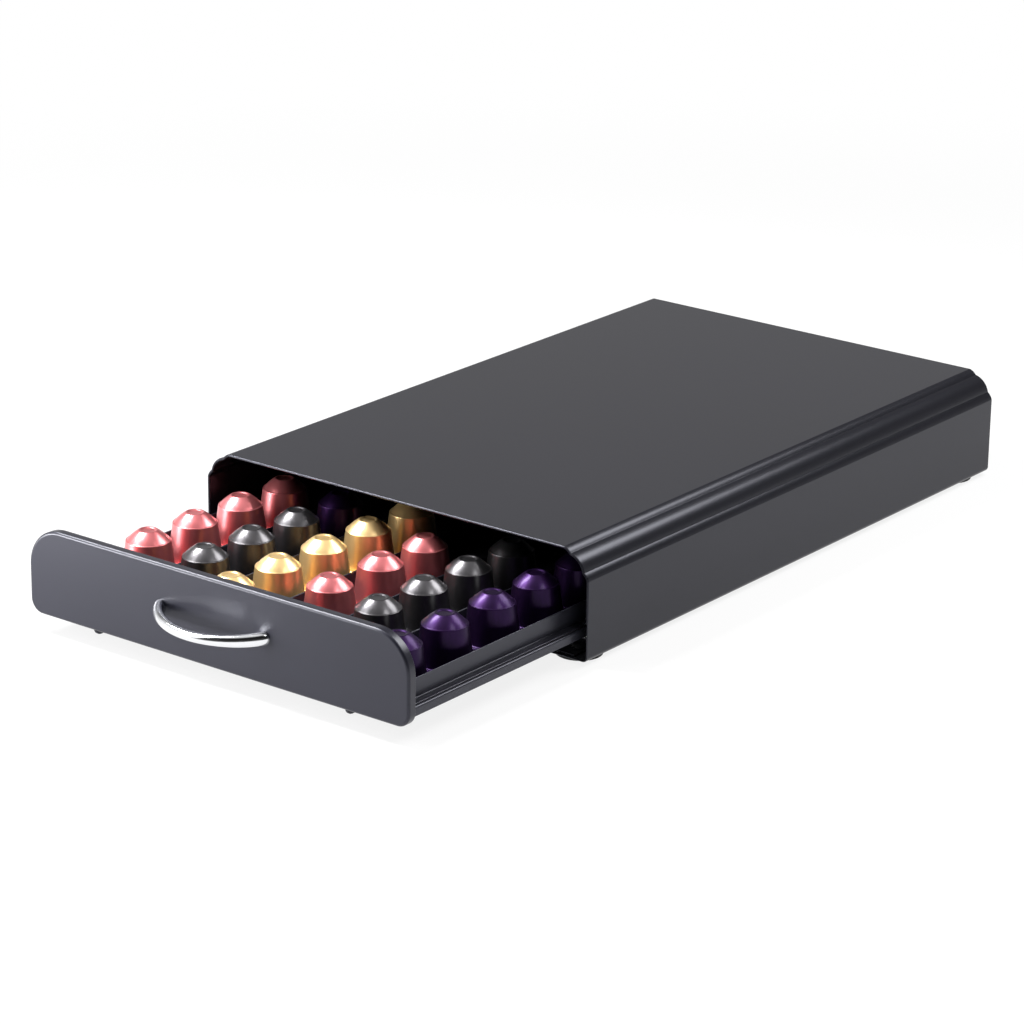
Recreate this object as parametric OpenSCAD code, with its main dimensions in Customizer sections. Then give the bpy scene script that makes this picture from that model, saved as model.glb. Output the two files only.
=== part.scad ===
// Coffee pod drawer: a flat cabinet of bent, powder-coated sheet with one low drawer in
// it. The drawer's tray has six lanes, in which capsules stand on their lids.
// X runs to the right, Y to the back and Z up. The origin is the middle of the cabinet's
// footprint on the counter. The drawer is drawn open by drawer_open.

/* [Cabinet] */
// Space between the tray's side walls and the outside of the cabinet, for the rails
side_room = 12.1; // [11:0.1:16]
// Depth of the cabinet
cab_d = 404; // [380:1:460]
// Height of the cabinet's top above the counter
cab_h = 63.6; // [61:0.2:80]
// Thickness of the cabinet's and the tray's sheet
sheet_t = 0.8; // [0.6:0.1:1]
// Distance of the outer creases of the moulded corner from the sharp corner
corner_c = 16.2; // [13:0.2:19]
// Length of the cove strip, along the face that it leaves
cove_run = 4.3; // [3:0.1:5.5]
// Drop of the cove strip below that face
cove_drop = 2.9; // [1.5:0.1:3.5]
// Rise of the round bead between the two coves
bead_rise = 1.9; // [1:0.1:3]
// Outer radius of the bend at the foot of each side
bend_r = 3; // [2.5:0.5:5]
// Depth of the hem folded inwards round the front opening
hem_depth = 15; // [8:1:25]
// Distance of the hem's lower ends above the rails
hem_rise = 2.8; // [1:0.2:8]
// Depth of the back panel's folded rim
back_rim = 10; // [6:1:16]

/* [Feet and cross bars] */
// Radius of a rubber foot
foot_r = 13; // [10:0.5:13.5]
// Height of a rubber foot below the flange
foot_h = 2.2; // [1.8:0.1:3]
// Distance of a foot's centre from the cabinet's side
foot_side = 15.9; // [14.5:0.1:18]
// Distance of the front feet's centres from the front edge
foot_front = 14.7; // [14:0.1:30]
// Distance of the rear feet's centres from the back
foot_rear = 18; // [16:1:30]
// Radius of a foot's stem
stem_r = 3.5; // [2.5:0.5:4]
// Radius of the barb at the end of a foot's stem
barb_r = 4.6; // [4.4:0.1:5.5]
// Height of that barb
barb_h = 2.2; // [1.5:0.1:3]
// Width of a cross bar from front to back
bar_w = 24; // [22:1:30]
// Height of a cross bar's down-turned lips
bar_lip = 2.6; // [1.5:0.1:2.8]
// Distance of a cross bar's ends from the bends at the foot of the sides
bar_inset = 7; // [4:0.5:10]
// Radius of a cross bar rivet's shank
bar_rivet_r = 1.6; // [1.2:0.1:2]
// Distance of these rivets from the inner edges of the cabinet's bottom flanges
bar_rivet_edge = 3.8; // [3.6:0.1:6]
// Distance of these rivets from the middle of their cross bar
bar_rivet_y = 7; // [4:0.5:7.5]

/* [Rails] */
// Space between a rail's web and the tray's lip
rail_gap = 3.9; // [3:0.1:6]
// Running clearance under the tray's lips and over its side flanges
run_gap = 0.3; // [0.2:0.05:0.5]
// Distance of a rail's legs from the tray's side wall
leg_gap = 1.3; // [0.8:0.1:2]
// Thickness of the nylon glide strip
glide_t = 1; // [0.8:0.1:1.5]
// Distance of a rail's ends from the closed front panel and from the back panel
rail_end = 1.5; // [1:0.5:4]
// Distance of the glide strip from its rail's edges and ends
glide_inset = 0.8; // [0.5:0.1:1.5]
// Length of a travel stop
stop_len = 8; // [5:1:14]
// Space between a travel stop and the tray's lip
stop_gap = 0.6; // [0.4:0.1:1.2]
// Thickness of the bumpers behind the tray
bumper_t = 6; // [4:0.5:9]
// Radius of a bumper
bumper_r = 5; // [4:0.5:5.5]
// Distance of a bumper from the middle
bumper_x = 60; // [30:1:90]

/* [Tray] */
// How far the drawer is drawn open here
drawer_open = 143.5; // [1:0.5:250]
// How far the drawer can be pulled out from closed
drawer_travel = 300; // [260:1:310]
// Height of the tray's floor above the counter
floor_z = 19.2; // [18:0.2:22]
// Height of the lips turned down along the floor's sides and rear
lip_h = 5; // [4.5:0.1:5.5]
// Outer radius of the bends above the side lips
tray_bend = 1.2; // [1.1:0.1:1.5]
// Height of the tray's side and rear walls
wall_h = 11.2; // [8:0.2:16]
// Height of the lane dividers
divider_h = 11.8; // [8:0.2:16]
// Height of the upstand behind the front panel
upstand_h = 28.8; // [22:0.2:34]
// Distance of the upstand's ends inside the tray's side walls
upstand_inset = 1; // [0.5:0.5:8]
// Space on each side of a capsule in its lane
lane_clear = 1.1; // [0.8:0.05:1.3]
// Width of the rear wall's foot flange
rear_foot = 6; // [4:0.5:10]
// Distance of the side walls' foot flanges from the tray's edge
side_foot_edge = 1.6; // [1.5:0.1:3]
// Length of a divider's tab
tab_len = 8; // [5:1:14]
// Depth of a divider's tab below the floor
tab_drop = 1.2; // [0.8:0.1:2]
// Play of a tab in its slot
tab_play = 0.1; // [0.05:0.05:0.3]
// Distance of the first and last tabs from the ends of their divider
tab_edge = 40; // [10:1:80]
// Length of a rear guide shoe
shoe_len = 40; // [30:1:50]
// Distance of a rear guide shoe from the tray's rear edge
shoe_rear = 4; // [2:0.5:8]
// Play of a rear guide shoe beside the rail's web
shoe_play = 0.4; // [0.3:0.1:0.8]
// Radius of a shoe rivet's shank
shoe_rivet_r = 0.9; // [0.7:0.1:1.1]
// Distance of a shoe rivet from its shoe's end
shoe_rivet_end = 9; // [4:0.5:13]
// Distance of a skid's blade from the outermost divider
skid_side = 6.4; // [3:0.2:20]
// Height of the skids' lower edges above the counter
skid_z = 5.5; // [5:0.1:8]
// Radius of a skid's front and rear corners
skid_r = 4; // [2:0.5:4.5]
// Distance of a skid's nose behind the panel's face
skid_nose = 3.5; // [1:0.5:4.5]
// Width of a skid's flange
skid_flange = 12; // [8:1:16]
// Distance of a skid's rear end from the tray's rear edge
skid_rear = 12; // [2:1:40]

/* [Front panel and handle] */
// Gap between the front panel and each side of the cabinet
panel_side = 2.8; // [2.2:0.1:4]
// Distance of the panel's upper edge below the cabinet's top
panel_top = 4.6; // [2.6:0.1:6]
// Height of the panel's lower edge above the counter
panel_low = 10; // [9:0.1:13]
// Depth of the panel with its folded rim
panel_depth = 5.5; // [4:0.5:8]
// Thickness of the panel's sheet
panel_t = 1; // [0.8:0.1:1.5]
// Radius of the panel's upper corners
panel_top_r = 22; // [18:0.5:24]
// Radius of the panel's lower corners
panel_low_r = 8; // [4:0.5:12]
// Radius of the bend round the panel's front face
panel_bend = 2.2; // [1.7:0.1:2.8]
// Distance between the centres of the handle's two ends
handle_span = 72; // [60:1:96]
// How far the handle's middle line bows out from the panel
handle_bow = 18.6; // [16:0.2:28]
// Thickness of the handle's middle seen from above
handle_t = 5.3; // [5:0.1:7]
// Length of each of the handle's ends along the panel
handle_foot = 8; // [6:0.2:10]
// Height of the handle's bar at its ends
handle_end_h = 7.8; // [6.5:0.1:9]
// Height of the handle's bar at its middle
handle_mid_h = 5.2; // [4:0.1:7]
// Height of the handle's ends above the counter
handle_z = 35.4; // [32:0.2:38]
// How much lower the handle's middle is than its ends
handle_drop = 1.6; // [0:0.1:3]
// Radius of a handle screw's thread
screw_r = 1.4; // [1.2:0.05:1.5]
// How far a handle screw goes into the handle
screw_grip = 3; // [2.5:0.1:3.5]
// Radius of a handle screw's head
screw_head_r = 2.8; // [2.5:0.1:3.5]
// Height of a handle screw's head
screw_head_h = 2.2; // [1.6:0.1:2.6]

/* [Capsules] */
// Diameter of a capsule's rim
pod_d = 37; // [36:0.2:37.4]
// Height of a capsule on its lid
pod_h = 27; // [25:0.2:30]
// Diameter of a capsule's body above its rim
pod_body_d = 30; // [28:0.5:31]
// Diameter of a capsule's shoulder
pod_shoulder_d = 24.5; // [22:0.5:26]
// Height of the shoulder
pod_shoulder_z = 21.6; // [19:0.2:23]
// Diameter of a capsule's flat top
pod_top_d = 10.4; // [9:0.2:15]
// Depth of the dimple in the top
pod_dimple = 1; // [0.6:0.1:1.5]
// Width of the ring round the dimple
pod_ring = 1.2; // [0.8:0.1:2]
// Thickness of a capsule's wall
pod_wall = 0.45; // [0.3:0.05:0.6]
// Thickness of a capsule's foil lid
lid_t = 0.15; // [0.1:0.05:0.3]
// Capsules standing in a lane that is filled as far as the others
pods_per_lane = 5; // [1:1:7]
// Play between neighbouring capsules in a lane
pod_play = 0.2; // [0.1:0.1:0.4]
// Distance of the frontmost capsule from the upstand
pod_front = 0.3; // [0.2:0.1:1]

/* [Hidden] */
$fn = 64;

// Colours
black = [0.11, 0.11, 0.125];
dark = [0.07, 0.07, 0.08];
rubber = [0.05, 0.05, 0.05];
nylon = [0.75, 0.75, 0.72];
steel = [0.62, 0.63, 0.65];
chrome = [0.85, 0.86, 0.88];
rose = [0.72, 0.33, 0.36];
graphite = [0.24, 0.24, 0.25];
gold = [0.85, 0.62, 0.30];
purple = [0.20, 0.12, 0.36];
foil = [0.80, 0.80, 0.81];

// Steps of the bends and arcs, and how far a cut reaches past what it cuts
arc_steps = 8;
bend_steps = 4;
past = 1;

// Space left between neighbours that don't touch, and round a rivet or a foot's stem
slack = 0.3;
shank_play = 0.05;

// Lanes
lanes = 6;
lane_pitch = pod_d + 2 * lane_clear + sheet_t;
wall_x = lanes / 2 * lane_pitch;
wall_out = wall_x + sheet_t / 2;

// Sides and levels of the cabinet
half_w = wall_out + side_room;
y_front = -cab_d / 2;
y_rear = cab_d / 2;
flange_z = foot_h;
flange_top = flange_z + sheet_t;
back_face = y_rear - sheet_t;

// Tray, at its closed place
tray_x = half_w - 2 * sheet_t - rail_gap;
floor_low = floor_z - sheet_t;
lip_low = floor_z - lip_h;
face_in = y_front + panel_t;
upstand_back = face_in + sheet_t;
upstand_x = wall_x - upstand_inset;
panel_back = y_front + panel_depth;
tray_neck = panel_back + slack;
tray_back = back_face - bumper_t - slack;
rear_wall_back = tray_back - rear_foot;
rear_wall_face = rear_wall_back - sheet_t;

// Rails: web, lower leg, glide strip and upper leg
web_out = half_w - sheet_t;
web_in = web_out - sheet_t;
glide_top = lip_low - run_gap;
leg_top = glide_top - glide_t;
rail_low = leg_top - sheet_t;
upper_leg = floor_z + sheet_t + run_gap;
rail_high = upper_leg + sheet_t;
leg_in = wall_out + leg_gap;
rail_y0 = panel_back + rail_end;
rail_y1 = y_rear - back_rim - rail_end;
hem_low = rail_high + hem_rise;

// Travel stops: the guide shoes meet them when the drawer is all the way out
shoe_y1 = tray_back - shoe_rear;
shoe_y0 = shoe_y1 - shoe_len;
shoe_out = web_in - shoe_play;
shoe_top = floor_z - tray_bend;
stop_y1 = shoe_y0 - drawer_travel - slack;
stop_in = tray_x + stop_gap;
shoe_head_r = shoe_rivet_r + 0.5;
shoe_head_h = 0.8;
shoe_head_x = shoe_out - shoe_head_h - slack / 2;

// Cross bars stand on the flanges, over the feet, with their rivets beside the feet
front_bar_y = y_front + foot_front;
rear_bar_y = y_rear - foot_rear;
bar_top = flange_top + sheet_t;
bar_reach = half_w - bend_r - bar_inset;
foot_x = half_w - foot_side;
bar_head_r = bar_rivet_r + 1.4;
bar_rivet_x = foot_x - foot_r - slack - bar_head_r;
flange_x = bar_rivet_x - bar_rivet_edge;
bar_lip_x = flange_x - slack;

// Front panel
panel_x = half_w - panel_side;
panel_z1 = cab_h - panel_top;

// Handle: its outer and inner sides are arcs, which its middle line runs between
function arc_r(half, rise) = (half * half + rise * rise) / (2 * rise);
handle_reach = (handle_span + handle_foot) / 2;
handle_out_bow = handle_bow + handle_t / 2;
handle_out_r = arc_r(handle_reach, handle_out_bow);
handle_in_bow = handle_bow - handle_t / 2;
handle_in_r = arc_r((handle_span - handle_foot) / 2, handle_in_bow);
handle_r = arc_r(handle_span / 2, handle_bow);
screw_x = sqrt(pow(handle_r, 2) - pow(handle_r - handle_bow + screw_grip / 2, 2));
hole_play = 0.1;

// Skids: nose_flat is the least upright part left over the bend of a nose
nose_flat = 0.2;
skid_t = 2 * sheet_t;
skid_x = (lanes / 2 - 1) * lane_pitch + skid_side;
skid_top = floor_low;
skid_nose_z = panel_low - slack;
skid_nose_y = y_front + skid_nose;
skid_nose_r = min(skid_r, skid_nose_z - skid_z - nose_flat);
skid_back_y = tray_back - skid_rear;

// Tabs of the dividers
tab_count = 4;
tab_first = upstand_back + tab_edge;
tab_step = (rear_wall_face - tab_edge - tab_first) / (tab_count - 1);

// Capsules: how far each lane's row stands back from the front, the extra space after the
// first and after the second capsule of each lane, and the places left free at its rear
lane_start = [2.5, 3.5, 16.5, 0, 3, 7.5];
lane_gap = [0, 0, 0, 11.5, 0, 0];
lane_space = [0, 0, 0, 4.5, 0, 2];
lane_free = [0, 0, 0, 1, 0, 0];
lane_colours = [rose, graphite, gold, rose, graphite, purple];
first_pod = upstand_back + pod_d / 2 + pod_front;
pod_pitch = pod_d + pod_play;

// Part of the outline between p and q as an arc that rises by s to the right of p-q
function arc_between(p, q, s, n) =
    let (
        d = q - p,
        c = norm(d),
        r = (c * c / 4 + s * s) / (2 * s),
        m = (p + q) / 2,
        k = [d.y, -d.x] / c,
        o = m - k * (r - s),
        a0 = atan2(p.y - o.y, p.x - o.x),
        turn = 2 * asin(c / 2 / r)
    )
    [for (i = [0:n]) o + r * [cos(a0 + turn * i / n), sin(a0 + turn * i / n)]];

// Points of a bend of radius r round centre o, from angle a0 to angle a1
function bend(o, r, a0, a1, n) =
    [for (i = [0:n]) o + r * [cos(a0 + (a1 - a0) * i / n), sin(a0 + (a1 - a0) * i / n)]];

// A path moved to its left by d, with mitred corners
function left_of(p, q) = [p.y - q.y, q.x - p.x] / norm(q - p);
function moved(path, d) =
    let (n = len(path))
    [for (i = [0:n - 1])
        let (
            a = i > 0 ? left_of(path[i - 1], path[i]) : left_of(path[0], path[1]),
            b = i < n - 1 ? left_of(path[i], path[i + 1]) : a
        )
        path[i] + (a + b) * d / (1 + a * b)];
function reversed(path) = [for (i = [len(path) - 1:-1:0]) path[i]];
function mirrored(path) = [for (p = reversed(path)) [-p.x, p.y]];

// Cross-section of bent sheet: the path is one face, the other is t to its left
module sheet(path, t) {
    polygon(concat(path, reversed(moved(path, t))));
}

// A cross-section drawn in X and Z, made solid from y0 to y1
module along_y(y0, y1) {
    translate([0, y1, 0])
        rotate([90, 0, 0])
            linear_extrude(y1 - y0)
                children();
}

// A cross-section drawn in Y and Z, made solid from x0 to x1
module along_x(x0, x1) {
    translate([x0, 0, 0])
        rotate([90, 0, 90])
            linear_extrude(x1 - x0)
                children();
}

module block(low, high) {
    translate(low)
        cube(high - low);
}

// A round bar along Y or X from the point p
module rod_y(p, r, len) {
    translate(p)
        rotate([-90, 0, 0])
            cylinder(h = len, r = r);
}

module rod_x(p, r, len) {
    translate(p)
        rotate([0, 90, 0])
            cylinder(h = len, r = r);
}

module both_sides() {
    children();
    mirror([1, 0, 0])
        children();
}

module in_drawer() {
    translate([0, -drawer_open, 0])
        children();
}

// Moulded corner between the cabinet's right side and its flat top
corner = concat(
    [[half_w, cab_h - corner_c]],
    arc_between([half_w - cove_drop, cab_h - corner_c + cove_run],
                [half_w - corner_c + cove_run, cab_h - cove_drop], bead_rise, arc_steps),
    [[half_w - corner_c, cab_h]]);

// Outline of the cabinet from its right flange, up and over, to its left flange
shell_half = concat(
    [[flange_x, flange_z]],
    bend([half_w - bend_r, flange_z + bend_r], bend_r, -90, 0, bend_steps),
    corner);
shell_path = concat(shell_half, mirrored(shell_half));
hem_half = concat([[half_w, hem_low]], corner);
hem_path = concat(hem_half, mirrored(hem_half));

// ---- Cabinet ----

module stem_holes() {
    for (x = [-foot_x, foot_x], y = [front_bar_y, rear_bar_y])
        translate([x, y, 0])
            cylinder(h = bar_top + past, r = stem_r + shank_play);
}

module bar_rivet_places() {
    for (x = [-bar_rivet_x, bar_rivet_x], y = [front_bar_y, rear_bar_y], s = [-1, 1])
        translate([x, y + s * bar_rivet_y, 0])
            children();
}

module bar_rivet_holes() {
    bar_rivet_places()
        cylinder(h = bar_top + past, r = bar_rivet_r + shank_play);
}

module shell() {
    color(black)
        difference() {
            union() {
                along_y(y_front, y_rear)
                    sheet(shell_path, sheet_t);
                along_y(y_front, y_front + hem_depth)
                    sheet(moved(hem_path, sheet_t / 2), 3 * sheet_t / 2);
            }
            stem_holes();
            bar_rivet_holes();
        }
}

// Inside of the shell, closed across the bottom and moved in by d
module back_outline(d) {
    polygon(moved(shell_path, sheet_t + d));
}

// A plate with a rim folded forwards along the sides and the top
module back_panel() {
    color(black)
        difference() {
            along_y(y_rear - back_rim, y_rear)
                back_outline(0);
            along_y(y_rear - back_rim - past, back_face)
                back_outline(sheet_t);
            block([bend_r - half_w, y_rear - back_rim - past, 0],
                  [half_w - bend_r, back_face, flange_top + bend_r]);
        }
}

rail_path = [
    [leg_in, rail_low], [web_out, rail_low], [web_out, rail_high], [leg_in, rail_high]
];

module rail_right() {
    color(dark)
        along_y(rail_y0, rail_y1)
            sheet(rail_path, sheet_t);
}

module rail_left() {
    mirror([1, 0, 0])
        rail_right();
}

module glide_right() {
    color(nylon)
        block([leg_in + glide_inset, rail_y0 + glide_inset, leg_top],
              [web_in, rail_y1 - glide_inset, glide_top]);
}

module glide_left() {
    mirror([1, 0, 0])
        glide_right();
}

module stop_right() {
    color(nylon)
        block([stop_in, stop_y1 - stop_len, glide_top], [web_in, stop_y1, upper_leg]);
}

module stop_left() {
    mirror([1, 0, 0])
        stop_right();
}

// The bar's web lies on the flanges; its lips hang between them
module crossbar(y) {
    color(dark)
        difference() {
            union() {
                block([-bar_reach, y - bar_w / 2, flange_top],
                      [bar_reach, y + bar_w / 2, bar_top]);
                for (edge = [y - bar_w / 2, y + bar_w / 2 - sheet_t])
                    block([-bar_lip_x, edge, bar_top - bar_lip],
                          [bar_lip_x, edge + sheet_t, bar_top]);
            }
            stem_holes();
            bar_rivet_holes();
        }
}

module front_crossbar() {
    crossbar(front_bar_y);
}

module rear_crossbar() {
    crossbar(rear_bar_y);
}

// Head below the flange, shank through flange and bar, and set head on top
module crossbar_rivets() {
    low_head = 1;
    low_edge = 0.6;
    set_head = 0.8;
    set_edge = 0.3;
    color(steel)
        bar_rivet_places()
            rotate_extrude()
                polygon([
                    [0, flange_z - low_head], [bar_head_r - low_edge, flange_z - low_head],
                    [bar_head_r, flange_z], [bar_rivet_r, flange_z],
                    [bar_rivet_r, bar_top], [bar_head_r - low_edge, bar_top],
                    [bar_head_r - low_edge - set_edge, bar_top + set_head],
                    [0, bar_top + set_head]
                ]);
}

// A rubber foot: disc, stem through flange and cross bar, and barb
module foot(x, y) {
    edge = 0.6;
    tip = 0.6;
    color(rubber)
        translate([x, y, 0])
            rotate_extrude()
                polygon([
                    [0, 0], [foot_r - edge, 0], [foot_r, edge], [foot_r, foot_h],
                    [stem_r, foot_h], [stem_r, bar_top], [barb_r, bar_top],
                    [stem_r - tip, bar_top + barb_h], [0, bar_top + barb_h]
                ]);
}

module foot_front_left() {
    foot(-foot_x, front_bar_y);
}

module foot_front_right() {
    foot(foot_x, front_bar_y);
}

module foot_rear_left() {
    foot(-foot_x, rear_bar_y);
}

module foot_rear_right() {
    foot(foot_x, rear_bar_y);
}

// Rubber bumpers that the tray's rear lip comes up to
module rear_bumpers() {
    color(rubber)
        both_sides()
            rod_y([bumper_x, back_face - bumper_t, (lip_low + floor_z) / 2], bumper_r, bumper_t);
}

// ---- Drawer ----

tray_half = concat(
    [[tray_x, lip_low]],
    bend([tray_x - tray_bend, floor_z - tray_bend], tray_bend, 0, 90, bend_steps));
tray_path = concat(tray_half, mirrored(tray_half));

module tab_places(k) {
    for (i = [0:tab_count - 1])
        translate([(k - lanes / 2) * lane_pitch, tab_first + i * tab_step, 0])
            children();
}

module handle_screw_places(y) {
    both_sides()
        translate([screw_x, y, handle_z])
            children();
}

module shoe_rivet_places(x) {
    for (y = [shoe_y0 + shoe_rivet_end, shoe_y1 - shoe_rivet_end])
        translate([x, y, (lip_low + shoe_top) / 2])
            children();
}

// Floor with its lips and the upstand that carries the front panel
module tray_base() {
    color(dark)
        in_drawer()
            difference() {
                union() {
                    along_y(tray_neck, tray_back)
                        sheet(tray_path, sheet_t);
                    block([-upstand_x, face_in, floor_low], [upstand_x, tray_back, floor_z]);
                    block([-upstand_x, face_in, floor_low],
                          [upstand_x, upstand_back, floor_z + upstand_h]);
                    block([tray_bend - tray_x, tray_back - sheet_t, lip_low],
                          [tray_x - tray_bend, tray_back, floor_z]);
                }
                for (k = [1:lanes - 1])
                    tab_places(k)
                        block([-sheet_t / 2 - tab_play, -tab_len / 2 - tab_play, floor_low - past],
                              [sheet_t / 2 + tab_play, tab_len / 2 + tab_play, floor_z + past]);
                handle_screw_places(face_in - past)
                    rod_y([0, 0, 0], screw_r + hole_play, sheet_t + 2 * past);
                both_sides()
                    shoe_rivet_places(tray_x - sheet_t - past)
                        rod_x([0, 0, 0], shoe_rivet_r + shank_play, sheet_t + 2 * past);
            }
}

// Side wall with its foot flange turned out over the tray's ledge
module side_wall_right() {
    color(dark)
        in_drawer()
            along_y(upstand_back, rear_wall_back)
                sheet([[tray_x - side_foot_edge, floor_z], [wall_out - sheet_t, floor_z],
                       [wall_out - sheet_t, floor_z + wall_h]], -sheet_t);
}

module side_wall_left() {
    mirror([1, 0, 0])
        side_wall_right();
}

module rear_wall() {
    rear_x = wall_out - sheet_t;
    color(dark)
        in_drawer()
            along_x(-rear_x, rear_x)
                sheet([[tray_back, floor_z], [rear_wall_face, floor_z],
                       [rear_wall_face, floor_z + wall_h]], -sheet_t);
}

// A divider stands on the floor, and its tabs go through the slots
module divider(k) {
    x = (k - lanes / 2) * lane_pitch;
    color(dark)
        in_drawer()
            union() {
                block([x - sheet_t / 2, upstand_back, floor_z],
                      [x + sheet_t / 2, rear_wall_face, floor_z + divider_h]);
                tab_places(k)
                    block([-sheet_t / 2, -tab_len / 2, floor_low - tab_drop],
                          [sheet_t / 2, tab_len / 2, floor_z + past]);
            }
}

// Guide shoe on the outside of the tray's lip, with sunk rivet heads
module shoe_right() {
    color(nylon)
        in_drawer()
            difference() {
                block([tray_x, shoe_y0, lip_low], [shoe_out, shoe_y1, shoe_top]);
                shoe_rivet_places(tray_x - past)
                    rod_x([0, 0, 0], shoe_rivet_r + shank_play, shoe_out);
                shoe_rivet_places(shoe_head_x)
                    rod_x([0, 0, 0], shoe_head_r + shank_play, shoe_out);
            }
}

module shoe_left() {
    mirror([1, 0, 0])
        shoe_right();
}

module shoe_rivets() {
    color(steel)
        in_drawer()
            both_sides() {
                shoe_rivet_places(shoe_head_x)
                    rod_x([0, 0, 0], shoe_head_r, shoe_head_h);
                shoe_rivet_places(tray_x - 2 * sheet_t)
                    rod_x([0, 0, 0], shoe_rivet_r, shoe_head_x + past / 2 - tray_x + 2 * sheet_t);
                shoe_rivet_places(tray_x - 2 * sheet_t)
                    rod_x([0, 0, 0], shoe_head_r, sheet_t);
            }
}

// Outline of a skid's blade in Y and Z: the nose reaches under the panel's lower rim
skid_outline = concat(
    [[tray_neck, skid_top], [tray_neck, skid_nose_z], [skid_nose_y, skid_nose_z]],
    bend([skid_nose_y + skid_nose_r, skid_z + skid_nose_r], skid_nose_r, 180, 270, bend_steps),
    bend([skid_back_y - skid_r, skid_z + skid_r], skid_r, -90, 0, bend_steps),
    [[skid_back_y, skid_top]]);

module skid_right() {
    color(dark)
        in_drawer()
            union() {
                along_x(skid_x - skid_t / 2, skid_x + skid_t / 2)
                    polygon(skid_outline);
                block([skid_x - skid_t / 2, tray_neck, skid_top - sheet_t],
                      [skid_x - skid_t / 2 + skid_flange, skid_back_y, skid_top]);
            }
}

module skid_left() {
    mirror([1, 0, 0])
        skid_right();
}

// Outline of the front panel in X and Z, made smaller all round by d
module panel_outline(d) {
    x1 = panel_x - d;
    z0 = panel_low + d;
    z1 = panel_z1 - d;
    rt = panel_top_r - d;
    rl = panel_low_r - d;
    polygon(concat(
        bend([x1 - rl, z0 + rl], rl, -90, 0, arc_steps),
        bend([x1 - rt, z1 - rt], rt, 0, 90, arc_steps),
        bend([-x1 + rt, z1 - rt], rt, 90, 180, arc_steps),
        bend([-x1 + rl, z0 + rl], rl, 180, 270, arc_steps)));
}

// A block with the panel's outline and a bend round its front face, smaller by d
module panel_block(d) {
    r = panel_bend - d;
    hull()
        for (i = [0:bend_steps])
            let (a = 90 * i / bend_steps)
                along_y(y_front + panel_bend - r * sin(a), panel_back + d)
                    panel_outline(panel_bend - r * cos(a));
}

// A shallow pan of sheet: face and rim, open at the back
module front_panel() {
    color(black)
        in_drawer()
            difference() {
                panel_block(0);
                panel_block(panel_t);
                handle_screw_places(y_front - past)
                    rod_y([0, 0, 0], screw_r + hole_play, panel_t + 2 * past);
            }
}

// Side view of the handle's bar in X and Z: higher at its ends and lower in the middle
function handle_line(s) =
    [for (i = [-arc_steps:arc_steps])
        let (
            u = i / arc_steps,
            h = handle_mid_h + (handle_end_h - handle_mid_h) * u * u
        )
        [u * handle_reach, handle_z - handle_drop * (1 - u * u) + s * h / 2]];

// The bar, bowed in plan, with a blind screw hole in each end
module handle() {
    low = handle_z - handle_end_h - handle_drop;
    tall = 2 * handle_end_h + handle_drop;
    color(chrome)
        in_drawer()
            difference() {
                intersection() {
                    along_y(y_front - handle_out_bow - past, y_front)
                        polygon(concat(handle_line(-1), reversed(handle_line(1))));
                    translate([0, y_front - handle_out_bow + handle_out_r, low])
                        cylinder(h = tall, r = handle_out_r);
                }
                translate([0, y_front - handle_in_bow + handle_in_r, low - past])
                    cylinder(h = tall + 2 * past, r = handle_in_r);
                handle_screw_places(y_front - screw_grip)
                    rod_y([0, 0, 0], screw_r + shank_play, screw_grip + past);
            }
}

module handle_screws() {
    shank = screw_grip + panel_t + sheet_t;
    color(steel)
        in_drawer() {
            handle_screw_places(y_front - screw_grip)
                rod_y([0, 0, 0], screw_r, shank + screw_head_h);
            handle_screw_places(upstand_back)
                rod_y([0, 0, 0], screw_head_r, screw_head_h);
        }
}

// ---- Capsules ----

module pod_places(lane) {
    for (i = [0:max(pods_per_lane - lane_free[lane - 1], 1) - 1])
        translate([(lane - (lanes + 1) / 2) * lane_pitch,
                   first_pod + lane_start[lane - 1] + i * pod_pitch
                   + (i > 0 ? lane_gap[lane - 1] : 0) + (i > 1 ? lane_space[lane - 1] : 0),
                   floor_z])
            children();
}

// Outer face of a capsule from its rim to the axis; its wall lies to the right
rim_z = lid_t + pod_wall;
dimple_r = pod_top_d / 2 - pod_ring;
pod_path = [
    [pod_d / 2, rim_z], [pod_body_d / 2, rim_z], [pod_shoulder_d / 2, pod_shoulder_z],
    [pod_top_d / 2, pod_h], [dimple_r, pod_h], [dimple_r - pod_dimple, pod_h - pod_dimple],
    [0, pod_h - pod_dimple]
];

module pods(lane) {
    color(lane_colours[lane - 1])
        in_drawer()
            pod_places(lane)
                rotate_extrude($fn = 48)
                    sheet(pod_path, pod_wall);
}

module pod_lids() {
    color(foil)
        in_drawer()
            for (lane = [1:lanes])
                pod_places(lane)
                    cylinder(h = lid_t, r = pod_d / 2 - pod_play, $fn = 48);
}

shell();
back_panel();
rail_left();
rail_right();
glide_left();
glide_right();
stop_left();
stop_right();
front_crossbar();
rear_crossbar();
crossbar_rivets();
foot_front_left();
foot_front_right();
foot_rear_left();
foot_rear_right();
rear_bumpers();
tray_base();
side_wall_left();
side_wall_right();
rear_wall();
divider(1);  // divider_1
divider(2);  // divider_2
divider(3);  // divider_3
divider(4);  // divider_4
divider(5);  // divider_5
shoe_left();
shoe_right();
shoe_rivets();
skid_left();
skid_right();
front_panel();
handle();
handle_screws();
pods(1);  // pods_lane_1
pods(2);  // pods_lane_2
pods(3);  // pods_lane_3
pods(4);  // pods_lane_4
pods(5);  // pods_lane_5
pods(6);  // pods_lane_6
pod_lids();
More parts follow.
